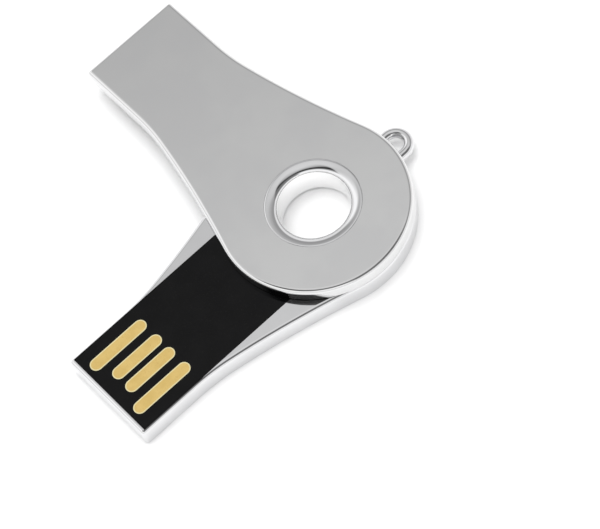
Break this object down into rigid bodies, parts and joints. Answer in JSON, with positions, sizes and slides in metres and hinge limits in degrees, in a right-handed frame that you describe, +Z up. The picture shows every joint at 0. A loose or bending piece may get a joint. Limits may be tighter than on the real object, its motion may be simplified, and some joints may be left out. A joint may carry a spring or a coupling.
{
  "type": "usb flash drive",
  "caption": "Slim keyhole-shaped memory stick: a flat chip module in a metal tray, under a metal cover that swivels on a hollow rivet, with a wire lanyard loop.",
  "frame": {"origin": "centre of the pivot bore, at the underside of the tray", "axes": "+X from the pivot to the contact end, +Z up along the pivot axis, +Y to the side of the ground contact; the open cover points to -Y at rest"},
  "size_m": [0.0425, 0.0406, 0.0041],
  "materials": {
    "bright_chrome": "mirror-bright chrome plate",
    "satin_chrome": "polished chrome plate, slightly satin on top",
    "black_mask": "semi-gloss black solder mask",
    "black_resin": "matt black epoxy moulding",
    "gold_plate": "matt electroplated gold",
    "silicon": "polished silicon",
    "ceramic": "fired ceramic with tinned ends",
    "spring_steel": "rolled spring steel",
    "white_nylon": "natural nylon",
    "white_tape": "double-sided tape",
    "grey_liner": "fine-textured moulded plastic"
  },
  "bodies": {
    "base": {"tray": "bright_chrome", "lanyard_loop": "bright_chrome", "adhesive_pad": "white_tape", "mould_body": "black_resin", "circuit_board": "black_mask", "contact_power": "gold_plate", "contact_data_minus": "gold_plate", "contact_data_plus": "gold_plate", "contact_ground": "gold_plate", "controller_die": "silicon", "flash_die_first": "silicon", "flash_die_second": "silicon", "capacitors": "ceramic", "resistors": "black_resin", "clock_crystal": "spring_steel", "spring_washer": "spring_steel", "glide_washer": "white_nylon", "pivot_rivet": "bright_chrome"},
    "cover": {"cover_shell": "satin_chrome", "liner_tape": "white_tape", "cover_liner": "grey_liner"}
  },
  "joints": [
    {"name": "cover_swivel", "type": "hinge", "parent": "base", "child": "cover", "pos_m": [0, 0, 0.0026], "axis": [0, 0, 1], "continuous": true}
  ]
}
